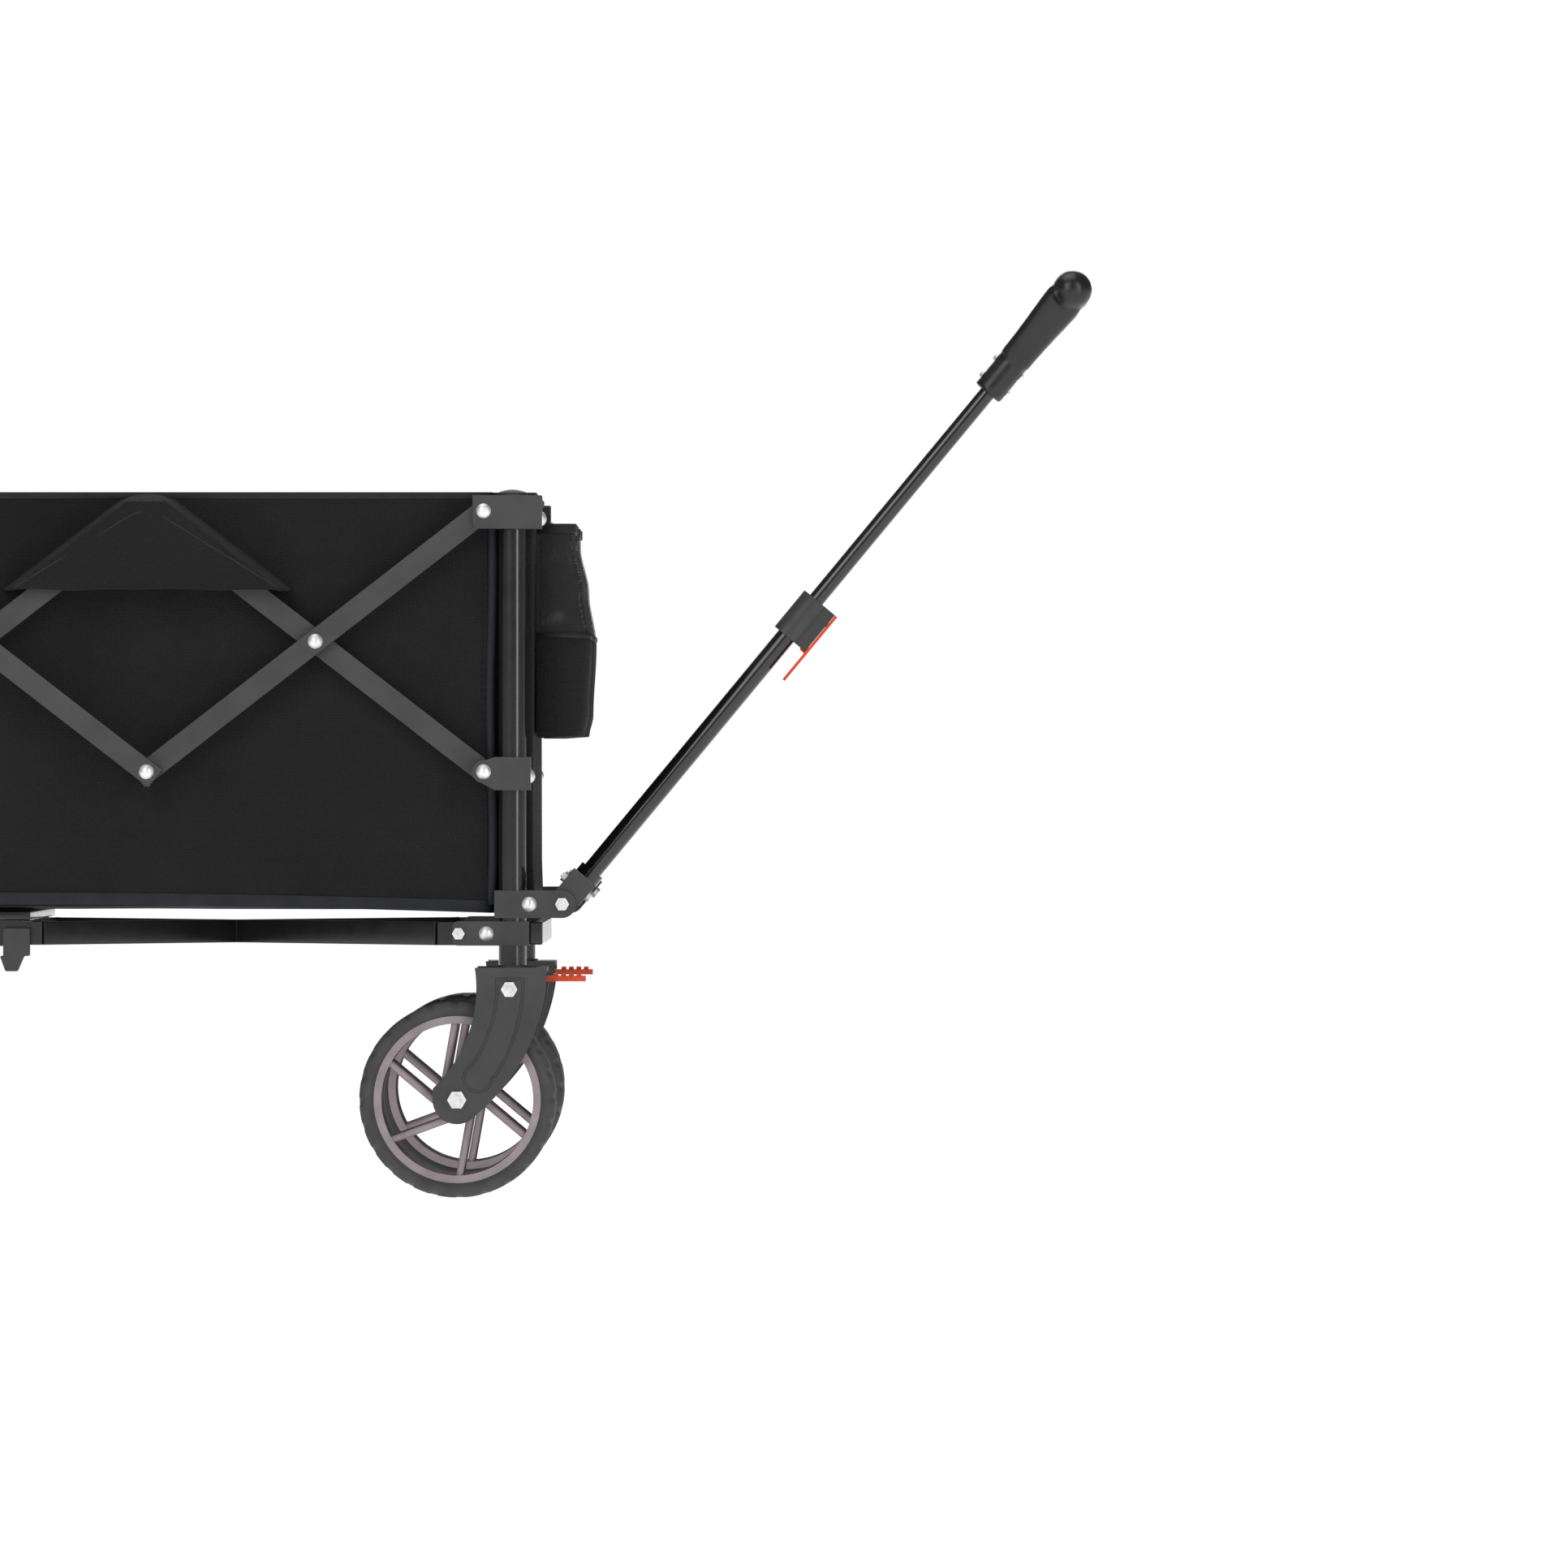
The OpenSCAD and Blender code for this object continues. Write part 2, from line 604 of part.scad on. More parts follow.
// The blade of a fork between its two arcs
module fork_blade(low, high) difference() {
    intersection() {
        polygon([[fork_x[0] - 40, low + 20], [fork_x[0] - 3, low], [fork_x[1], low],
                 [fork_x[1], high], [fork_x[0] - 40, high]]);
        translate([fork_arc_front[0], fork_arc_front[1]]) circle(fork_arc_front[2], $fn = 180);
    }
    translate([fork_arc_back[0], fork_arc_back[1]]) circle(fork_arc_back[2], $fn = 180);
}
module fork() color(satin) {
    difference() {
        union() {
            for (y = [-fork_out, fork_in]) plate_y(y, y + fork_out - fork_in) {
                fork_blade(73, fork_top);
                translate([axle_x, axle_z]) circle(fork_eye_r);
            }
            block([fork_x[0], -fork_out, crown_low], [fork_x[1], fork_out, fork_top]);
        }
        for (y = [-fork_out - over, fork_out - groove_h]) plate_y(y, y + over + groove_h) difference() {
            groove_band(0);
            groove_band(groove_w);
        }
        pin_y([axle_x, axle_z], axle_r + run, -fork_out - over, fork_out + over);
        pin_y(pedal_pivot, pedal_pin_r + run, -fork_out - over, fork_out + over);
    }
    pin_z(post_x, 0, bearing_r, fork_top, post_bottom - run);
    pin_z(post_x, 0, stem_r, fork_top, stem_top - 2);
}
module fork_bolts() color(silver) {
    pin_y([axle_x, axle_z], axle_r, -fork_out - 10, fork_out + 10);
    pin_y(pedal_pivot, pedal_pin_r, -fork_out - 7, fork_out + 7);
    for (m = [0, 1]) mirror([0, m, 0]) {
        hex_y([axle_x, axle_z], 15, fork_out, fork_out + 7);
        hex_y(pedal_pivot, 13, fork_out, fork_out + 4.5);
    }
}
module brake_pedal() color(orange) {
    pad = [[500, -22, 195], [549, 22, 199.5]];
    shoe = pedal_pivot + [19, -28];
    difference() {
        union() {
            pin_y(pedal_pivot, 6, -30, 30);
            block([pedal_pivot[0] + 3, -15, 190], [pad[0][0] + 2, 15, 196]);
            block(pad[0], pad[1]);
            for (k = [0 : 3]) block([520 + 7 * k, -20, 199], [524 + 7 * k, 20, 202]);
            pin_y(shoe, 2, -20, 20);
            translate([pedal_pivot[0], 0, pedal_pivot[1]]) rotate([0, atan2(28, 19), 0])
                block([4, -17, -1.5], [norm([19, 28]), 17, 1.5]);
        }
        pin_y(pedal_pivot, pedal_pin_r + run, -31, 31);
    }
}
module caster_fork_left() placed() translate([0, post_y, 0]) fork();
module caster_fork_right() placed() translate([0, -post_y, 0]) fork();
module caster_bolts_left() placed() translate([0, post_y, 0]) fork_bolts();
module caster_bolts_right() placed() translate([0, -post_y, 0]) fork_bolts();
module brake_pedal_left() placed() translate([0, post_y, 0]) brake_pedal();
module brake_pedal_right() placed() translate([0, -post_y, 0]) brake_pedal();
module rear_forks() placed() for (y = [-post_y, post_y]) translate([-2 * post_x, y, 0]) fork();

// ---- pull handle ----
module tilted() placed() translate([handle_x, 0, handle_z]) rotate([0, -handle_tilt, 0]) children();
module along(r, u0, u1) translate([u0, 0, 0]) rotate([0, 90, 0]) cylinder(r = r, h = u1 - u0);

// Pressed end caps of the yoke, which turn on the handle's pivot bolts
module yoke_ends() tilted() color(satin) both_sides() {
    half = handle_eye_r;
    difference() {
        union() {
            pin_y([0, 0], half, yoke_cheek[0], yoke_cheek[1]);
            block([0, yoke_cheek[0], -half], [yoke_end_u, yoke_cheek[1], half]);
            for (v = [-half, yoke_v + 0.2]) block([yoke_u[0] - 2, yoke_flange_in, v],
                                                [yoke_end_u, yoke_cheek[1], v + half - yoke_v - 0.2]);
            block([yoke_u[1] + 0.2, yoke_flange_in, -half], [yoke_end_u, yoke_cheek[1], half]);
        }
        pin_y([0, 0], handle_bolt_r + run, yoke_cheek[0] - over, yoke_cheek[1] + over);
        pin_z(20.6, post_y - 6, rivet_r + run, -half - over, half + over);
    }
}
module yoke_bar() tilted() color(gloss) difference() {
    union() {
        difference() {
            block([yoke_u[0], -post_y - 5, -yoke_v], [yoke_u[1], post_y + 5, yoke_v]);
            both_sides() block([yoke_u[0] + arm_wall, 14, arm_wall - yoke_v],
                               [yoke_u[1] - arm_wall, post_y - 20, yoke_v - arm_wall]);
        }
        along(12, yoke_u[1] - over, 38);
    }
    along(lower_r + run, yoke_u[1], 38 + over);
    both_sides() pin_z(20.6, post_y - 6, rivet_r + run, -yoke_v - over, yoke_v + over);
}
module handle_bolts() tilted() color(silver) both_sides() translate([20.6, post_y - 6, 0]) {
    pin_z(0, 0, rivet_r, -handle_eye_r, handle_eye_r + 5);
    translate([0, 0, handle_eye_r]) cylinder(r = 5, h = 3.5, $fn = 6);
    translate([0, 0, -handle_eye_r - 3.5]) cylinder(r = 5, h = 3.5, $fn = 6);
}
module lower_tube() tilted() color(gloss) difference() {
    along(lower_r, yoke_u[1] + run, lower_len);
    along(lower_bore, yoke_u[1] + 4, lower_len + over);
}
module collar() tilted() color(satin) {
    difference() {
        union() {
            along(collar_r, collar_u[0], collar_u[1]);
            plate_y(-lug_half, lug_half)
                polygon([[collar_u[0], -10], [collar_u[0], lug_low + 2.3], [collar_u[0] + 2.6, lug_low],
                         [collar_u[1], lug_low], [collar_u[1], -10]]);
        }
        along(lower_r + run, collar_u[0] - over, lower_len);
        along(upper_r + run, collar_u[0], collar_u[1] + over);
        block([collar_u[0] - over, -3.3, lug_low - over], [326, 3.3, -14]);
        block([346, -2.5, lug_low - over], [354.5, 2.5, 0]);
    }
    pin_y(lever_pivot, 1.5, -4, 4);
}
module lock_lever() tilted() color(orange) difference() {
    union() {
        block([lever_u[0], -lug_half, lever_v[0]], [lever_u[1], lug_half, lever_v[1]]);
        block([lever_pivot[0] - 3.5, -3, lever_v[0]], [lever_pivot[0] + 3.5, 3, lever_pivot[1]]);
        pin_y(lever_pivot, 3.5, -3, 3);
        pin_z(350, 0, 2, lever_v[1] - over, -7.9);
    }
    pin_y(lever_pivot, 1.5 + run, -4, 4);
}
module upper_tube() tilted() color(gloss) difference() {
    along(upper_r, upper_from, upper_to);
    along(upper_bore, upper_from - over, upper_to - 3);
}

// Looped hand grip: a socket, two arms and a bar across
module grip() tilted() color(gloss) difference() {
    union() {
        along(grip_r, grip_from, grip_neck);
        both_sides() {
            start = [grip_neck - 6, 6];
            finish = [grip_reach - 9, hand_half - 2];
            span = finish - start;
            translate([start[0], start[1], 0]) rotate([0, 90, atan2(span[1], span[0])])
                linear_extrude(norm(span)) {
                    rect([grip_arm_w - grip_arm_d, -grip_arm_w], [grip_arm_d - grip_arm_w, grip_arm_w]);
                    for (v = [grip_arm_w - grip_arm_d, grip_arm_d - grip_arm_w]) translate([v, 0]) circle(grip_arm_w);
                }
            translate([grip_reach, hand_half, 0]) sphere(hand_r);
        }
        pin_y([grip_reach, 0], hand_r, -hand_half, hand_half);
    }
    along(upper_r + run, grip_from - over, upper_to + run);
    for (u = [620, 640]) pin_z(u, 0, 2 + run, -grip_r - over, grip_r + over);
}
module grip_screws() tilted() color(silver) for (u = [620, 640]) {
    for (v = [upper_r + 0.2, -grip_r]) pin_z(u, 0, 2, v, v + grip_r - upper_r - 0.2);
    translate([u, 0, grip_r]) dome(4, 2.4);
    translate([u, 0, -grip_r]) mirror([0, 0, 1]) dome(4, 2.4);
}

hub_plate();
hub_links();
hub_feet();
base_x_front();
base_x_rear();
front_posts();
front_base_brackets();
front_cross_bar();
handle_brackets();
front_side_brackets();
front_fasteners();
front_top_frame();
front_top_brackets();
front_top_rivets();
tub();
tub_flaps();
front_pockets();
floor_mat();
rear_posts();
rear_base_brackets();
rear_cross_bar();
rear_side_brackets();
rear_fasteners();
rear_forks();
rear_top_frame();
rear_top_brackets();
rear_top_rivets();
bars_front_falling();
bars_front_rising();
bars_middle_falling();
bars_middle_rising();
bars_rear_rising();
bars_rear_falling();
rivets_front();
rivets_middle_falling();
rivets_middle_rising();
rivets_rear();
caster_fork_left();
caster_bolts_left();
caster_fork_right();
caster_bolts_right();
brake_pedal_left();
brake_pedal_right();
tyre_front_left();
rim_front_left();
tyre_front_right();
rim_front_right();
tyre_rear_left();
rim_rear_left();
tyre_rear_right();
rim_rear_right();
yoke_ends();
yoke_bar();
handle_bolts();
lower_tube();
collar();
upper_tube();
grip();
grip_screws();
lock_lever();
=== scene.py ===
# Looks for the folding wagon: fabric, tyres, grip and materials around the CAD frame.
import json
import math

import bmesh
import bpy
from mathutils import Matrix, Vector, noise

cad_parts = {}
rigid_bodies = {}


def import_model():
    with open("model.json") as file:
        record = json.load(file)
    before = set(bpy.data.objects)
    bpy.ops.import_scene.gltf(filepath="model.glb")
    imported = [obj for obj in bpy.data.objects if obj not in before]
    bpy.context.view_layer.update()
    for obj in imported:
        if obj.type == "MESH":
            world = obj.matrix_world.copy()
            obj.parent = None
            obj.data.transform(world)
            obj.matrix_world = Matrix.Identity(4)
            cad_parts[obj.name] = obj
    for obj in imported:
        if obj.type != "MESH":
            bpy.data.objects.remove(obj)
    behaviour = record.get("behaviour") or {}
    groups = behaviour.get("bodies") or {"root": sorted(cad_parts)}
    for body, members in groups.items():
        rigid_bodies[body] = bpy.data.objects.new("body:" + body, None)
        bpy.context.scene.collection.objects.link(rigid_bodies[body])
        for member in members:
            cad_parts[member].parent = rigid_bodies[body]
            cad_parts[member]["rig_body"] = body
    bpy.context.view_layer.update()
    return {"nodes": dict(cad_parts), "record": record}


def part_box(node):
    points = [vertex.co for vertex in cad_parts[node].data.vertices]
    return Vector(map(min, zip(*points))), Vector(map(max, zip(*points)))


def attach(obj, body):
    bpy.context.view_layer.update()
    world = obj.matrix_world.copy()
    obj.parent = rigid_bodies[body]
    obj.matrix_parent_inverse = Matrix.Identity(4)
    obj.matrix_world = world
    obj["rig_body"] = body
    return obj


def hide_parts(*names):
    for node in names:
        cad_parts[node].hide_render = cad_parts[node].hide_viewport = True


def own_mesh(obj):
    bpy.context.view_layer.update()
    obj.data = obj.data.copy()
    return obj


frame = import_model()
MM = 0.001

# ---- places, from the frame ----
TUB_LOW, TUB_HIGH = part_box("tub")
POST_LOW, POST_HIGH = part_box("front_posts")
FLAP_LOW, FLAP_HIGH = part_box("tub_flaps")
POCKET_LOW, POCKET_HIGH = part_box("front_pockets")
MAT_LOW, MAT_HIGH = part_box("floor_mat")
GRIP_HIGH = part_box("grip")[1]
MIDDLE_X = (TUB_LOW.x + TUB_HIGH.x) / 2
POST_R = 12.5 * MM
POST_X = (POST_LOW.x + POST_HIGH.x) / 2 - MIDDLE_X
POST_Y = POST_HIGH.y - POST_R

# the tub's ends and sides, which are notched round the posts
END_X = (TUB_HIGH.x - TUB_LOW.x) / 2
END_Y = TUB_HIGH.y - 17 * MM
SIDE_X = POST_X - 18.2 * MM
SIDE_Y = TUB_HIGH.y

FLAP_HALF = 132 * MM
POCKET_INNER_Y = 47 * MM
POCKET_OUTER_Y = POCKET_HIGH.y - 2 * MM
POCKET_SPLIT = 0.47  # share of a pocket's height where its cloth gives way to net

TYRE_R = 88.6 * MM
TYRE_BEAD_R = 75.5 * MM
TYRE_HALF = 48 * MM
SHOULDER_R = 8 * MM

HAND_R = 18 * MM
HANDLE_AXIS = (0.6374, 0.7705)  # X and Z of the handle's direction
ARM_LENGTH = 76 * MM


# ---- camera, floor and light ----
def make_camera():
    """A long lens far off the wagon's side, level with the base of its handle."""
    data = bpy.data.cameras.new("camera")
    data.sensor_width = 36
    view_width = 1.4206
    distance = 12.0
    height = 0.3735
    data.lens = data.sensor_width * distance / view_width
    camera = bpy.data.objects.new("camera", data)
    camera.location = (MIDDLE_X + 0.7287, -POST_Y - distance, height)
    camera.rotation_euler = (math.radians(90), 0, 0)
    bpy.context.scene.collection.objects.link(camera)
    bpy.context.scene.camera = camera


def make_floor():
    mesh = bpy.data.meshes.new("floor")
    size = 40
    corners = [(-size, -size, 0), (size, -size, 0), (size, size, 0), (-size, size, 0)]
    mesh.from_pydata(corners, [], [(0, 1, 2, 3)])
    floor = bpy.data.objects.new("floor", mesh)
    bpy.context.scene.collection.objects.link(floor)
    floor.data.materials.append(floor_material("floor_white", (0.32, 0.32, 0.32), 0.9, 0.96))


def add_area(name, place, target, size, power):
    data = bpy.data.lights.new(name, "AREA")
    data.shape = "RECTANGLE"
    data.size, data.size_y = size
    data.energy = power
    lamp = bpy.data.objects.new(name, data)
    lamp.location = place
    lamp.rotation_euler = (Vector(target) - Vector(place)).to_track_quat("-Z", "Y").to_euler()
    bpy.context.scene.collection.objects.link(lamp)


def make_light():
    """A white background, a faint even light and four soft lamps."""
    world = bpy.data.worlds.new("studio")
    world.use_nodes = True
    bpy.context.scene.world = world
    nodes, links = world.node_tree.nodes, world.node_tree.links
    nodes.clear()
    out = nodes.new("ShaderNodeOutputWorld")
    seen = nodes.new("ShaderNodeBackground")
    seen.inputs["Color"].default_value = (1, 1, 1, 1)
    seen.inputs["Strength"].default_value = 1.0
    lit = nodes.new("ShaderNodeBackground")
    lit.inputs["Color"].default_value = (1, 1, 1, 1)
    lit.inputs["Strength"].default_value = 0.12
    path = nodes.new("ShaderNodeLightPath")
    mix = nodes.new("ShaderNodeMixShader")
    links.new(path.outputs["Is Camera Ray"], mix.inputs[0])
    links.new(lit.outputs[0], mix.inputs[1])
    links.new(seen.outputs[0], mix.inputs[2])
    links.new(mix.outputs[0], out.inputs[0])
    bpy.context.scene.view_settings.view_transform = "Standard"
    centre = (MIDDLE_X + 0.2, 0, 0.4)
    lamps = [
        ("key", (MIDDLE_X - 1.2, -3.4, 2.2), (2.2, 2.8), 54),
        ("fill", (MIDDLE_X + 2.9, -2.9, 1.6), (0.9, 3.0), 36),
        ("top", (MIDDLE_X, 0, 4.0), (3.0, 3.0), 52),
        ("back", (MIDDLE_X + 0.5, 4.0, 2.4), (3.0, 2.0), 44),
    ]
    for name, place, size, power in lamps:
        add_area(name, place, centre, size, power)


# ---- materials ----
class Shader:
    """A principled material with helpers for its nodes."""

    def __init__(self, name):
        self.material = bpy.data.materials.new(name)
        self.material.use_nodes = True
        self.nodes = self.material.node_tree.nodes
        self.links = self.material.node_tree.links
        self.shader = self.nodes["Principled BSDF"]
        self.coordinates = self.nodes.new("ShaderNodeTexCoord").outputs["Object"]

    def put(self, socket, value):
        """Sets a socket, or links a node's output to it."""
        if isinstance(value, bpy.types.NodeSocket):
            self.links.new(value, socket)
        else:
            socket.default_value = value

    def math(self, operation, a, b=0.0):
        node = self.nodes.new("ShaderNodeMath")
        node.operation = operation
        self.put(node.inputs[0], a)
        self.put(node.inputs[1], b)
        return node.outputs[0]

    def axes(self):
        node = self.nodes.new("ShaderNodeSeparateXYZ")
        self.links.new(self.coordinates, node.inputs[0])
        return node.outputs

    def noise(self, scale, detail=3.0, rough=0.5):
        node = self.nodes.new("ShaderNodeTexNoise")
        self.links.new(self.coordinates, node.inputs["Vector"])
        node.inputs["Scale"].default_value = scale
        node.inputs["Detail"].default_value = detail
        node.inputs["Roughness"].default_value = rough
        return node.outputs[0]

    def ramp(self, value, low, high, from_low=0.0, from_high=1.0):
        """Maps a value between two numbers or two colours."""
        if isinstance(low, tuple):
            node = self.nodes.new("ShaderNodeValToRGB")
            self.links.new(value, node.inputs[0])
            node.color_ramp.elements[0].position = from_low
            node.color_ramp.elements[1].position = from_high
            node.color_ramp.elements[0].color = (*low, 1)
            node.color_ramp.elements[1].color = (*high, 1)
            return node.outputs[0]
        node = self.nodes.new("ShaderNodeMapRange")
        self.links.new(value, node.inputs["Value"])
        numbers = {"From Min": from_low, "From Max": from_high, "To Min": low, "To Max": high}
        for key, number in numbers.items():
            node.inputs[key].default_value = number
        return node.outputs[0]

    def bump(self, height, distance, strength=1.0, below=None):
        node = self.nodes.new("ShaderNodeBump")
        self.links.new(height, node.inputs["Height"])
        node.inputs["Distance"].default_value = distance
        node.inputs["Strength"].default_value = strength
        if below is not None:
            self.links.new(below, node.inputs["Normal"])
        return node.outputs[0]

    def surface(self, colour, rough, normal=None, **plain):
        self.put(self.shader.inputs["Base Color"], colour)
        self.put(self.shader.inputs["Roughness"], rough)
        if normal is not None:
            self.put(self.shader.inputs["Normal"], normal)
        for key, value in plain.items():
            self.shader.inputs[key.replace("_", " ")].default_value = value
        return self.material


def tinted(colour, factor):
    return tuple(min(1.0, c * factor) for c in colour)


def floor_material(name, colour, rough, glow):
    """A matt floor that glows a little, so it stays as pale as the background."""
    s = Shader(name)
    tone = s.ramp(s.noise(3), tinted(colour, 0.98), tinted(colour, 1.02))
    return s.surface(tone, rough, Emission_Color=(1, 1, 1, 1), Emission_Strength=glow)


def painted_material(name, colour, rough, grain, depth, **plain):
    """Powder coat or moulded plastic: slight random colour change, uneven gloss and a fine surface grain."""
    s = Shader(name)
    tone = s.ramp(s.noise(30, 4), tinted(colour, 0.82), tinted(colour, 1.2), 0.3, 0.7)
    gloss = s.ramp(s.noise(55, 3), rough * 0.85, min(1.0, rough * 1.2), 0.3, 0.7)
    wave = s.bump(s.noise(18, 2), 0.4 * MM, 0.25)
    return s.surface(tone, gloss, s.bump(s.noise(grain, 2), depth, 0.6, wave), **plain)


def metal_material(name, colour, rough):
    s = Shader(name)
    tone = s.ramp(s.noise(140, 4), tinted(colour, 0.85), tinted(colour, 1.1), 0.3, 0.7)
    gloss = s.ramp(s.noise(260, 3), rough * 0.8, rough * 1.3, 0.3, 0.7)
    return s.surface(tone, gloss, s.bump(s.noise(700, 2), 0.01 * MM, 0.3), Metallic=0.85)


def woven_material(name, colour, pitch, depth, rough=0.88, holes=0.0):
    """Plain weave with its threads at 45 degrees, so it lies the same way on side and end walls."""
    s = Shader(name)
    x, y, z = s.axes()
    along = s.math("ADD", x, y)
    turn = 2 * math.pi / pitch
    one = s.math("SINE", s.math("MULTIPLY", s.math("ADD", along, z), turn))
    two = s.math("SINE", s.math("MULTIPLY", s.math("SUBTRACT", along, z), turn))
    weave = s.math("MULTIPLY", one, two)
    fibre = s.noise(900, 2, 0.7)
    height = s.math("ADD", s.math("MULTIPLY", weave, 0.7), fibre)
    # colour: painted shade in the weave's low parts between threads (taken from its bump height), plus broad
    # random tone
    weave_shade_and_tone = s.math("ADD", s.math("MULTIPLY", height, 0.45), s.math("MULTIPLY", s.noise(7, 5, 0.6), 0.7))
    tone = s.ramp(weave_shade_and_tone, tinted(colour, 0.35), tinted(colour, 2.0), 0.1, 1.0)
    crease = s.bump(s.noise(11, 4, 0.55), 5 * MM, 0.32)
    normal = s.bump(height, depth, 0.8, crease)
    material = s.surface(tone, rough, normal, Sheen_Weight=0.05, Sheen_Roughness=0.5, Specular_IOR_Level=0.2)
    if holes:
        s.put(s.shader.inputs["Alpha"], s.math("LESS_THAN", s.math("ABSOLUTE", weave), holes))
    return material


def make_materials():
    return {
        "satin_steel": painted_material("satin_steel", (0.042, 0.042, 0.043), 0.46, 900, 0.03 * MM),
        "gloss_steel": painted_material("gloss_steel", (0.008, 0.008, 0.009), 0.2, 1400, 0.01 * MM,
                                        Coat_Weight=0.5, Coat_Roughness=0.12),
        "zinc": metal_material("zinc", (0.9, 0.9, 0.91), 0.45),
        "cloth": woven_material("cloth", (0.0105, 0.0105, 0.0108), 3.2 * MM, 0.5 * MM),
        "mesh": woven_material("mesh", (0.03, 0.03, 0.031), 4.0 * MM, 0.5 * MM, 0.8, 0.33),
        "binding": painted_material("binding", (0.011, 0.012, 0.016), 0.6, 800, 0.06 * MM,
                                    Specular_IOR_Level=0.3),
        "tread": painted_material("tread", (0.05, 0.05, 0.051), 0.72, 500, 0.08 * MM),
        "rim_plastic": painted_material("rim_plastic", (0.29, 0.24, 0.255), 0.5, 700, 0.03 * MM),
        "orange_plastic": painted_material("orange_plastic", (0.72, 0.06, 0.012), 0.38, 700, 0.02 * MM),
        "black_plastic": painted_material("black_plastic", (0.04, 0.04, 0.042), 0.5, 1000, 0.04 * MM),
        "grip_plastic": painted_material("grip_plastic", (0.011, 0.011, 0.012), 0.33, 1100, 0.02 * MM),
    }


# ---- mesh helpers ----
def shade(mesh, angle=38):
    for p in mesh.polygons:
        p.use_smooth = True
    mesh.set_sharp_from_angle(angle=math.radians(angle))


def add_piece(name, mesh, material, body):
    piece = bpy.data.objects.new(name, mesh)
    bpy.context.scene.collection.objects.link(piece)
    mesh.materials.clear()
    mesh.materials.append(material)
    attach(piece, body)
    return piece


def mesh_from(name, points, faces, angle=38):
    mesh = bpy.data.meshes.new(name)
    mesh.from_pydata([tuple(p) for p in points], [], faces)
    bm = bmesh.new()
    bm.from_mesh(mesh)
    bmesh.ops.remove_doubles(bm, verts=bm.verts, dist=1e-6)
    bmesh.ops.recalc_face_normals(bm, faces=bm.faces)
    bm.to_mesh(mesh)
    bm.free()
    shade(mesh, angle)
    return mesh


def loft(rings, closed_rings=True, caps=False):
    """Points and faces that join rings of equal length."""
    n = len(rings[0])
    points = [p for ring in rings for p in ring]
    faces = []
    last = n if closed_rings else n - 1
    for i in range(len(rings) - 1):
        for j in range(last):
            k = (j + 1) % n
            faces.append((i * n + j, i * n + k, (i + 1) * n + k, (i + 1) * n + j))
    if caps:
        faces.append(tuple(range(n)))
        faces.append(tuple((len(rings) - 1) * n + j for j in range(n)))
    return points, faces


def applied(piece, kind, **settings):
    """Adds a modifier, applies it and gives the piece back."""
    modifier = piece.modifiers.new(kind.lower(), kind)
    for key, value in settings.items():
        setattr(modifier, key, value)
    graph = bpy.context.evaluated_depsgraph_get()
    graph.update()
    mesh = bpy.data.meshes.new_from_object(piece.evaluated_get(graph))
    piece.modifiers.clear()
    old = piece.data
    piece.data = mesh
    bpy.data.meshes.remove(old)
    return piece


def rounded_copy(node, width, material, angle=35):
    """The CAD node with its edges rounded, as a piece that stands for it."""
    source = frame["nodes"][node]
    mesh = source.data.copy()
    bm = bmesh.new()
    bm.from_mesh(mesh)
    bmesh.ops.remove_doubles(bm, verts=bm.verts, dist=2e-6)
    bmesh.ops.dissolve_limit(bm, angle_limit=math.radians(1), verts=bm.verts, edges=bm.edges)
    bm.to_mesh(mesh)
    bm.free()
    if mesh.has_custom_normals:
        mesh.attributes.remove(mesh.attributes["custom_normal"])
    piece = add_piece(node + "_rounded", mesh, material, source["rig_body"])
    applied(piece, "BEVEL", width=width, segments=3, limit_method="ANGLE",
            angle_limit=math.radians(angle), use_clamp_overlap=True, harden_normals=False)
    shade(piece.data, 30)
    applied(piece, "WEIGHTED_NORMAL", keep_sharp=True)
    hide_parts(node)
    return piece


# ---- tub ----
def fillet_path(corners, step):
    """A closed plan path with a radius at each corner: corners are (x, y, radius)."""
    path = []
    n = len(corners)
    for i in range(n):
        before = Vector(corners[i - 1][:2])
        here = Vector(corners[i][:2])
        after = Vector(corners[(i + 1) % n][:2])
        radius = corners[i][2]
        a = here + (before - here).normalized() * radius
        b = here + (after - here).normalized() * radius
        for k in range(5):
            t = k / 4
            path.append(a * (1 - t) ** 2 + here * (2 * t * (1 - t)) + b * t * t)
        reach = after + (here - after).normalized() * corners[(i + 1) % n][2]
        count = int((reach - b).length / step)
        for k in range(1, count):
            path.append(b.lerp(reach, k / count))
    return path


def tub_path(inset=0.0, step=10 * MM):
    """The tub's outline, with its corners notched round the posts."""
    ex, ey, sx, sy = (v - inset for v in (END_X, END_Y, SIDE_X, SIDE_Y))
    soft, tight = 9 * MM, 3 * MM
    quarter = [(ex, ey, soft), (sx, ey, tight), (sx, sy, soft)]
    corners = [(ex, -ey, soft)] + quarter
    corners += [(-x, y, r) for x, y, r in reversed(quarter)]
    corners += [(-x, -y, r) for x, y, r in quarter]
    corners += [(x, -y, r) for x, y, r in reversed(quarter)][:-1]
    return [Vector((p.x + MIDDLE_X, p.y)) for p in fillet_path(corners, step)]


def inward(path):
    """Unit vectors in plan that point into the tub."""
    n = len(path)
    out = []
    for i in range(n):
        along = (path[(i + 1) % n] - path[i - 1]).normalized()
        out.append(Vector((-along.y, along.x)))
    return out


def wrinkle(x, y, z):
    """How far the cloth lies inside its tight line: broad slack, long folds and small puckers."""
    broad = noise.noise(Vector((x * 3.1, y * 3.1, z * 3.7 + 5)))
    folds = noise.noise(Vector((x * 9 + z * 5, y * 9, z * 4 + 11)))
    small = noise.noise(Vector((x * 24, y * 24, z * 15 + 3)))
    return (1.9 + 1.5 * broad + 0.8 * folds + 0.25 * small) * MM


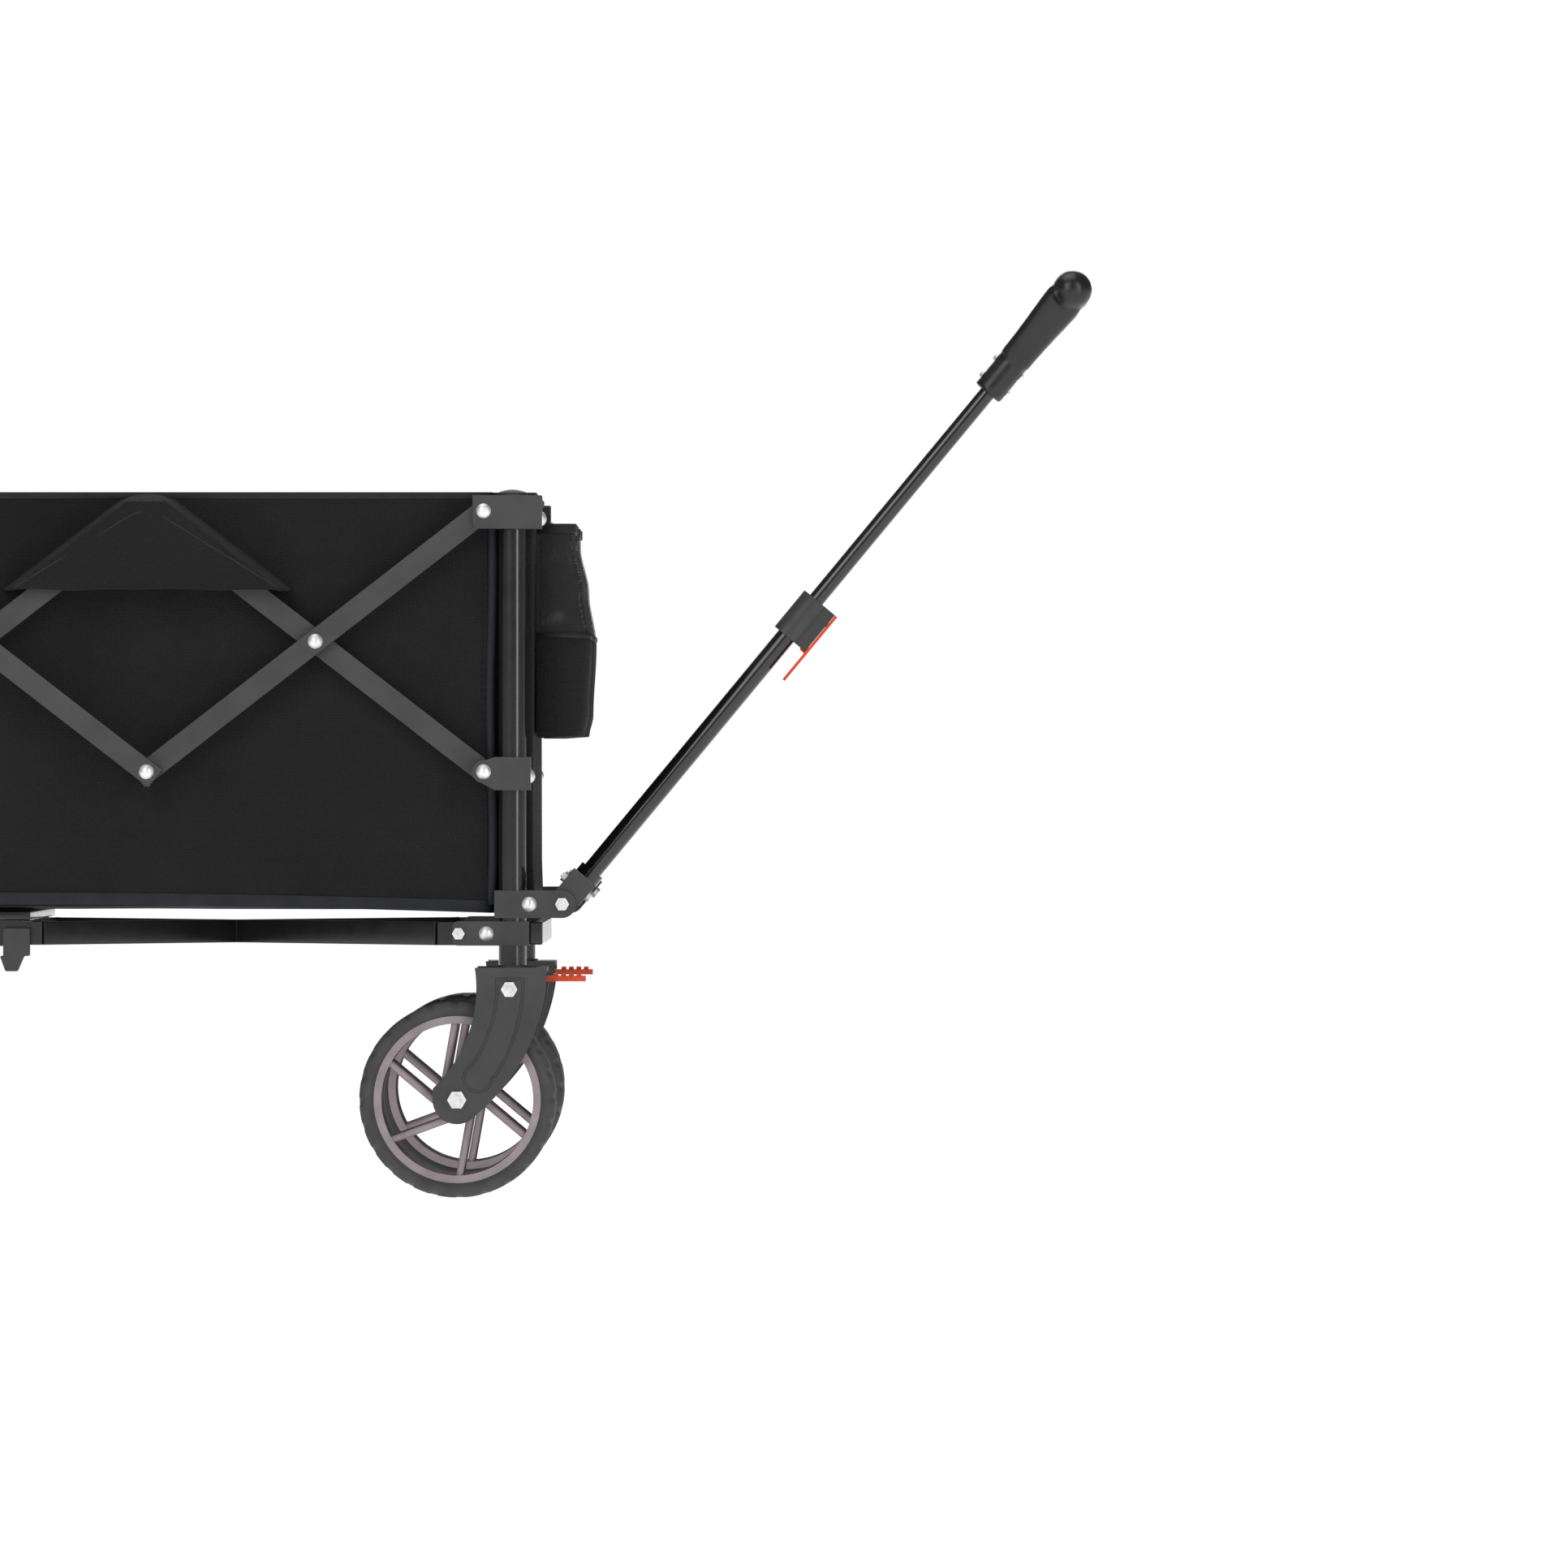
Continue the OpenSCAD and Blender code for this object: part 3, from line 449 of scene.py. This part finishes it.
def hem_height(x):
    """The tub's bottom edge rises a little between its ends."""
    t = min(1.0, abs(x - MIDDLE_X) / END_X)
    return TUB_LOW.z + (9 * MM) * (1 - t ** 2)


def soft_fold(piece):
    """Gives the piece a mesh of its own."""
    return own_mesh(piece)


def fabric(name, geometry, material, angle=60):
    """A piece of the tub, which rides on the front top frame."""
    return add_piece(name, mesh_from(name, *geometry, angle=angle), material, "front_top")


def corner_name(name, sx, sy):
    return "%s_%s_%s" % (name, "front" if sx > 0 else "rear", "left" if sy > 0 else "right")


def make_tub(mats):
    path = tub_path()
    normals = inward(path)
    rows = 44
    rings = []
    for i in range(rows + 1):
        t = i / rows
        ring = []
        for p, n in zip(path, normals):
            z = hem_height(p.x) * (1 - t) + (TUB_HIGH.z - 1 * MM) * t
            hold = min(1.0, min(t, 1 - t) * 9)
            q = p + n * (wrinkle(p.x, p.y, z) * hold)
            ring.append((q.x, q.y, z))
        rings.append(ring)
    tub = fabric("tub_cloth", loft(rings), mats["cloth"])
    applied(tub, "SOLIDIFY", thickness=2 * MM, offset=-1)
    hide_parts("tub")
    soft_fold(tub)

    floor_rings = []
    for i in range(13):
        t = i / 12
        ring = []
        for p in path:
            q = Vector((MIDDLE_X + (p.x - MIDDLE_X) * (1 - t * 0.96), p.y * (1 - t)))
            sag = 1.2 * MM * noise.noise(Vector((q.x * 7, q.y * 7, 2)))
            lift = (hem_height(p.x) - TUB_LOW.z) * (1 - t) ** 6
            ring.append((q.x, q.y, TUB_LOW.z + (1.5 * MM) + max(0, sag) + lift))
        floor_rings.append(ring)
    base = fabric("tub_floor", loft(floor_rings), mats["cloth"])
    applied(base, "SOLIDIFY", thickness=1.2 * MM, offset=0)
    soft_fold(base)


def band(path, normals, low, high, out, thick, rounding=1.2 * MM):
    """A soft-edged band round the tub between two heights, standing out of the cloth."""
    rings = []
    eased = rounding * 0.3
    outline = [(thick, 0.0), (eased, 0.0), (0.0, 0.12), (0.0, 0.88), (eased, 1.0), (thick, 1.0)]
    for depth, t in outline:
        ring = []
        for p, n in zip(path, normals):
            q = p + n * (depth - out)
            z = low(p.x) * (1 - t) + high(p.x) * t
            ring.append((q.x, q.y, z))
        rings.append(ring)
    rings.append(rings[0])
    return loft(rings)


def make_trim(mats):
    """The bound hems, the piped corners and their stitches."""
    path = tub_path()
    normals = inward(path)
    top = TUB_HIGH.z
    hem = band(path, normals, lambda x: hem_height(x) - 3 * MM, lambda x: hem_height(x) + 8 * MM,
               0.8 * MM, 3 * MM)
    rim = band(path, normals, lambda x: top - 6 * MM, lambda x: top, 0.7 * MM, 4 * MM)
    for name, geometry in (("bottom_hem", hem), ("top_hem", rim)):
        soft_fold(fabric(name, geometry, mats["binding"], angle=50))
    for sx in (-1, 1):
        for sy in (-1, 1):
            make_corner_piping(mats, sx, sy)
            make_stitch_line(mats, sx, sy)


def make_corner_piping(mats, sx, sy):
    """A bound seam that runs up the tub beside each post."""
    rows, turns = 40, 10
    wide, deep = 4.2 * MM, 2.6 * MM
    rings = []
    for i in range(rows + 1):
        t = i / rows
        x = MIDDLE_X + sx * (SIDE_X - 1 * MM + 1.2 * MM * math.sin(3 * math.pi * t))
        z = TUB_LOW.z + 6 * MM + t * (TUB_HIGH.z - TUB_LOW.z - 12 * MM)
        ring = []
        for k in range(turns):
            a = 2 * math.pi * k / turns
            ring.append((x + wide * math.cos(a), sy * (SIDE_Y - deep) + deep * math.sin(a), z))
        rings.append(ring)
    name = corner_name("corner_piping", sx, sy)
    soft_fold(fabric(name, loft(rings, caps=True), mats["binding"], angle=50))


def stitches(name, points, mats, length=4 * MM, gap=2.5 * MM, thick=0.55 * MM):
    """A row of short raised stitches along a line."""
    verts, faces = [], []
    pitch = length + gap
    for a, b in zip(points, points[1:]):
        a, b = Vector(a), Vector(b)
        span = (b - a).length
        along = (b - a).normalized()
        side = along.cross(Vector((0, 1, 0)))
        if side.length < 0.1:
            side = Vector((1, 0, 0))
        side = side.normalized() * thick
        up = along.cross(side).normalized() * thick
        for k in range(int(span / pitch)):
            start = a + along * (k * pitch)
            end = start + along * length
            middle = (start + end) / 2
            base = len(verts)
            for at, grow in ((start, 0.35), (middle, 1.0), (end, 0.35)):
                for turn in range(4):
                    c, s = math.cos(turn * math.pi / 2), math.sin(turn * math.pi / 2)
                    verts.append(at + side * (c * grow) + up * (s * grow))
            for low in (base, base + 4):
                for j in range(4):
                    after = (j + 1) % 4
                    faces.append((low + j, low + after, low + 4 + after, low + 4 + j))
            faces.append(tuple(base + j for j in range(4)))
            faces.append(tuple(base + 8 + j for j in range(4)))
    return fabric(name, (verts, faces), mats["binding"], angle=38)


def make_stitch_line(mats, sx, sy):
    """Stitches up the side of the tub, beside its piped corner."""
    x = MIDDLE_X + sx * (SIDE_X - 9 * MM)
    y = sy * (SIDE_Y - 0.8 * MM)
    line = [(x, y, TUB_LOW.z + 22 * MM), (x, y, TUB_HIGH.z - 14 * MM)]
    soft_fold(stitches(corner_name("seam_stitches", sx, sy), line, mats))


def smoothstep(t):
    t = max(0.0, min(1.0, t))
    return t * t * (3 - 2 * t)


def flap_half_width(t):
    """Half of a flap's width at a share t of its height: a triangle with a rounded top."""
    straight = FLAP_HALF * (1 - t) + 16 * MM * t
    if t <= 0.9:
        return straight
    return straight * math.sqrt(max(0.0, 1 - max(0.0, (t - 0.9) / 0.1) ** 2))


def make_flap(mats, name, x, side):
    """A triangular cover sewn to the tub over a pivot, open along its lower edge."""
    low, high = FLAP_LOW.z, FLAP_HIGH.z
    depth = FLAP_HIGH.y - SIDE_Y
    rows, columns = 40, 44
    points, faces = [], []
    for i in range(rows + 1):
        t = i / rows
        z = low + (high - low) * t
        half = max(flap_half_width(t), 0.5 * MM)
        for j in range(columns + 1):
            s = 2 * j / columns - 1
            edge = min((1 - abs(s)) * half, (1 - t) * (high - low) * 1.2)
            rise = smoothstep(edge / (11 * MM))
            pucker = 1.0 * MM * noise.noise(Vector((x * 3 + s * 2, side * 3.0, t * 3)))
            y = SIDE_Y + (depth - 1 * MM) * rise - (0.6 * MM + pucker) * rise
            drop = 1.5 * MM * noise.noise(Vector((s * 3 + x, side, 7))) * (1 - t) ** 4
            points.append((x + s * half, side * y, z - drop))
    width = columns + 1
    for i in range(rows):
        for j in range(columns):
            a = i * width + j
            faces.append((a, a + 1, a + width + 1, a + width))
    piece = fabric(name, (points, faces), mats["cloth"])
    applied(piece, "SOLIDIFY", thickness=1.6 * MM, offset=0)
    soft_fold(piece)
    return piece


def flap_edge(mats, name, x, side, inset, radius):
    """A raised seam that follows a flap's outline on its outer face."""
    low, high = FLAP_LOW.z, FLAP_HIGH.z
    y = side * (FLAP_HIGH.y - 1.2 * MM)
    line = []
    steps = 40
    for k in range(steps + 1):
        t = 1 - abs(2 * k / steps - 1)
        t = smoothstep(t) * 0.35 + t * 0.65
        sign = -1 if k <= steps / 2 else 1
        half = max(0.0, flap_half_width(t) - inset)
        line.append(Vector((x + sign * half, y, low + 2 * MM + (high - low - inset - 3 * MM) * t)))
    rings = []
    for k, p in enumerate(line):
        along = (line[min(k + 1, steps)] - line[max(k - 1, 0)]).normalized()
        across = along.cross(Vector((0, 1, 0))).normalized()
        ring = []
        for turn in range(8):
            a = 2 * math.pi * turn / 8
            out = Vector((0, radius * math.sin(a), 0))
            ring.append(p + across * (radius * 1.6 * math.cos(a)) + out)
        rings.append(ring)
    soft_fold(fabric(name, loft(rings, caps=True), mats["binding"]))


def make_flaps(mats):
    """Two flaps on each side of the tub, each with a seam along its edge."""
    spacing = (FLAP_HIGH.x - FLAP_LOW.x) / 2 - FLAP_HALF
    for sx in (1, -1):
        for sy in (1, -1):
            x = MIDDLE_X + sx * spacing
            make_flap(mats, corner_name("flap", sx, sy), x, sy)
            flap_edge(mats, corner_name("flap_seam", sx, sy), x, sy, 13 * MM, 0.7 * MM)
    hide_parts("tub_flaps")


# ---- front pockets ----
def pocket_reach(t):
    """How far a pocket stands out of the front wall at a share t of its height."""
    full = POCKET_HIGH.x - TUB_HIGH.x
    knots = [(0.0, 0.86), (0.1, 0.94), (0.44, 1.0), (0.7, 0.86), (0.92, 0.7), (1.0, 0.7)]
    for (a, u), (b, v) in zip(knots, knots[1:]):
        if t <= b:
            return full * (u + (v - u) * smoothstep((t - a) / (b - a)))
    return full * knots[-1][1]


def pocket_ring(side, t, out=0.0):
    """A pocket's outline in plan from wall to wall, with rounded outer corners."""
    low_y, high_y = POCKET_INNER_Y, POCKET_OUTER_Y
    z = POCKET_LOW.z + (POCKET_HIGH.z - POCKET_LOW.z) * t
    reach = pocket_reach(t) + out
    wall = TUB_HIGH.x + 0.3 * MM
    radius = min(14 * MM, reach * 0.5)
    count = 26
    ring = [(wall, low_y - out, z)]
    for k in range(7):
        a = k / 6 * math.pi / 2
        x = wall + reach - radius + radius * math.sin(a)
        ring.append((x, low_y - out + radius * (1 - math.cos(a)), z))
    for k in range(1, count):
        y = low_y + radius + (high_y - low_y - 2 * radius) * k / count
        puff = 1.6 * MM * noise.noise(Vector((y * 22, t * 5, side * 4.0))) - 1.2 * MM
        ring.append((wall + reach + puff, y, z))
    for k in range(6, -1, -1):
        a = k / 6 * math.pi / 2
        x = wall + reach - radius + radius * math.sin(a)
        ring.append((x, high_y + out - radius * (1 - math.cos(a)), z))
    ring.append((wall, high_y + out, z))
    return [(x, side * y, z) for x, y, z in ring]


def make_pocket_part(name, side, low_t, high_t, material, rows, out=0.0, thick=1.2 * MM):
    """The part of a pocket between two shares of its height."""
    rings = [pocket_ring(side, low_t + (high_t - low_t) * i / rows, out) for i in range(rows + 1)]
    piece = fabric(name, loft(rings, closed_rings=False), material)
    return applied(piece, "SOLIDIFY", thickness=thick, offset=0)


def make_pockets(mats):
    """Two pockets of cloth below and net above, with a bound rim, a seam and a base."""
    split = POCKET_SPLIT
    cloth, net, binding = mats["cloth"], mats["mesh"], mats["binding"]
    first = None
    for hand, side in (("left", 1), ("right", -1)):
        lower = make_pocket_part("pocket_cloth_" + hand, side, 0.0, split, cloth, 16)
        make_pocket_part("pocket_mesh_" + hand, side, split, 0.97, net, 20)
        make_pocket_part("pocket_rim_" + hand, side, 0.955, 1.0, binding, 4, 0.9 * MM, 2.4 * MM)
        make_pocket_part("pocket_seam_" + hand, side, split - 0.012, split + 0.012, binding, 2,
                         0.7 * MM, 1.6 * MM)
        ring = pocket_ring(side, 0.0)
        inner = [(TUB_HIGH.x + (x - TUB_HIGH.x) * 0.5, y * 0.995, z - 1.5 * MM) for x, y, z in ring]
        wall = [(TUB_HIGH.x + 0.3 * MM, y, z) for x, y, z in ring]
        base = fabric("pocket_base_" + hand, loft([ring, inner, wall], closed_rings=False), cloth)
        applied(base, "SOLIDIFY", thickness=1.2 * MM, offset=0)
        first = first or lower
    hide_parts("front_pockets")


# ---- floor mat ----
def make_mat(mats):
    """A padded floor in four panels, with a sewn channel between each pair."""
    panels = 4
    span = MAT_HIGH.x - MAT_LOW.x
    columns, rows = 176, 76
    points_top, points_low = [], []
    for i in range(columns + 1):
        u = i / columns
        local = (u * panels) % 1.0
        edge_x = min(local, 1 - local) * span / panels
        if i in (0, columns):
            edge_x = 0.0
        for j in range(rows + 1):
            v = j / rows
            y = MAT_LOW.y + (MAT_HIGH.y - MAT_LOW.y) * v
            edge_y = min(v, 1 - v) * (MAT_HIGH.y - MAT_LOW.y)
            puff = smoothstep(min(edge_x, edge_y) / (22 * MM)) ** 0.6
            x = MAT_LOW.x + span * u
            lumps = 0.4 * MM * noise.noise(Vector((x * 14, y * 14, 1)))
            top = MAT_LOW.z + 3.2 * MM + (6.4 * MM) * puff + lumps * puff
            points_top.append((x, y, top))
            points_low.append((x, y, MAT_LOW.z + 0.3 * MM + 1.6 * MM * (1 - puff)))
    width = rows + 1
    count = len(points_top)
    faces = []
    for i in range(columns):
        for j in range(rows):
            a = i * width + j
            faces.append((a, a + width, a + width + 1, a + 1))
            faces.append(tuple(count + k for k in (a, a + 1, a + width + 1, a + width)))
    for i in range(columns):
        for j in (0, rows):
            a = i * width + j
            faces.append((a, a + width, count + a + width, count + a))
    for j in range(rows):
        for i in (0, columns):
            a = i * width + j
            faces.append((a, a + 1, count + a + 1, count + a))
    piece = fabric("floor_pad", (points_top + points_low, faces), mats["cloth"])
    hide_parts("floor_mat")
    soft_fold(piece)


# ---- wheels ----
def tyre_profile():
    """(radius, half width) pairs from one bead over the tread to the other."""
    groove, groove_depth = 3, 1.3 * MM
    flat = 2 * (TYRE_HALF - SHOULDER_R)
    profile = [(TYRE_BEAD_R, -TYRE_HALF * 0.93), (TYRE_BEAD_R + 3 * MM, -TYRE_HALF * 0.985)]
    for k in range(9):
        a = k / 8 * math.pi / 2
        r = TYRE_R - SHOULDER_R + SHOULDER_R * math.sin(a)
        profile.append((r, -TYRE_HALF + SHOULDER_R - SHOULDER_R * math.cos(a)))
    for k in range(1, 6):
        y = -TYRE_HALF + SHOULDER_R + flat * k / 12
        profile.append((TYRE_R - (groove_depth if k == groove else 0), y))
    mirrored = [(r, -y) for r, y in reversed(profile)]
    return profile + [(TYRE_R, 0.0)] + mirrored


def make_tyre(mats, node):
    """A tyre with a smooth side wall, shoulder notches and grooves round its tread."""
    low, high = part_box(node)
    centre = (low + high) / 2
    profile = tyre_profile()
    steps, pitch, notch_steps = 288, 12, 3
    notch_depth = 1.7 * MM
    rings = []
    for i in range(steps):
        a = 2 * math.pi * i / steps
        notch = notch_depth if i % pitch < notch_steps else 0.0
        ring = []
        for r, y in profile:
            at_side = smoothstep((abs(y) / TYRE_HALF - 0.62) / 0.1)
            at_tread = smoothstep((r - TYRE_R + 6 * MM) / (4 * MM))
            cut_r = r - notch * at_side * at_tread
            ring.append((centre.x + cut_r * math.cos(a), centre.y + y, centre.z + cut_r * math.sin(a)))
        rings.append(ring)
    rings.append(rings[0])
    name = node + "_tread"
    body = frame["nodes"][node]["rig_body"]
    piece = add_piece(name, mesh_from(name, *loft(rings), angle=40), mats["tread"], body)
    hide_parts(node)


# ---- grip ----
def make_grip(mats):
    """The hand grip as one smooth moulding."""
    source = frame["nodes"]["grip"]
    piece = add_piece("hand_grip", source.data.copy(), mats["grip_plastic"], "handle_upper")
    if piece.data.has_custom_normals:
        piece.data.attributes.remove(piece.data.attributes["custom_normal"])
    applied(piece, "REMESH", mode="VOXEL", voxel_size=2.0 * MM)
    # the arms swell to the hand bar's thickness as they come to it
    bar_x, bar_z = GRIP_HIGH.x - HAND_R, GRIP_HIGH.z - HAND_R
    for v in piece.data.vertices:
        dx, dz = v.co.x - bar_x, v.co.z - bar_z
        back = -(dx * HANDLE_AXIS[0] + dz * HANDLE_AXIS[1])
        across = dz * HANDLE_AXIS[0] - dx * HANDLE_AXIS[1]
        if back > 0 and math.hypot(dx, dz) > HAND_R + 0.3 * MM:
            swell = 0.2 * across * (1 - smoothstep(back / ARM_LENGTH))
            v.co.x -= swell * HANDLE_AXIS[1]
            v.co.z += swell * HANDLE_AXIS[0]
    applied(piece, "SMOOTH", factor=0.5, iterations=14)
    for p in piece.data.polygons:
        p.use_smooth = True
    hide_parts("grip")


# ---- CAD nodes ----
CAD_SLOT = {s["node"]: s["material_slot"] for s in frame["record"]["subparts"]}
EDGE_WIDTHS = {
    "bars_front_falling": 2.4, "bars_front_rising": 2.4, "bars_middle_falling": 2.4,
    "bars_middle_rising": 2.4, "bars_rear_rising": 2.4, "bars_rear_falling": 2.4,
    "front_top_brackets": 0.9, "rear_top_brackets": 0.9, "front_side_brackets": 0.9,
    "rear_side_brackets": 0.9, "handle_brackets": 0.9, "front_base_brackets": 0.9,
    "rear_base_brackets": 0.9, "caster_fork_left": 1.2, "caster_fork_right": 1.2, "rear_forks": 1.2,
    "brake_pedal_left": 0.9, "brake_pedal_right": 0.9, "collar": 0.9, "lock_lever": 0.6,
    "yoke_ends": 0.9, "yoke_bar": 1.5, "hub_feet": 1.2, "hub_plate": 1.2,
    "base_x_front": 2.0, "base_x_rear": 2.0, "front_cross_bar": 1.5, "rear_cross_bar": 1.5,
    "rim_front_left": 0.6, "rim_front_right": 0.6, "rim_rear_left": 0.6, "rim_rear_right": 0.6,
}


def dress_nodes(mats):
    """Gives each CAD node its material, and rounds the edges of sheet metal and mouldings."""
    for node, obj in frame["nodes"].items():
        obj.data.materials.clear()
        obj.data.materials.append(mats[CAD_SLOT[node]])
        if node in EDGE_WIDTHS:
            rounded_copy(node, EDGE_WIDTHS[node] * MM, mats[CAD_SLOT[node]])


make_camera()
make_floor()
make_light()
MATERIALS = make_materials()
dress_nodes(MATERIALS)
make_tub(MATERIALS)
make_trim(MATERIALS)
make_flaps(MATERIALS)
make_pockets(MATERIALS)
make_mat(MATERIALS)
for wheel in ("front_left", "front_right", "rear_left", "rear_right"):
    make_tyre(MATERIALS, "tyre_" + wheel)
make_grip(MATERIALS)
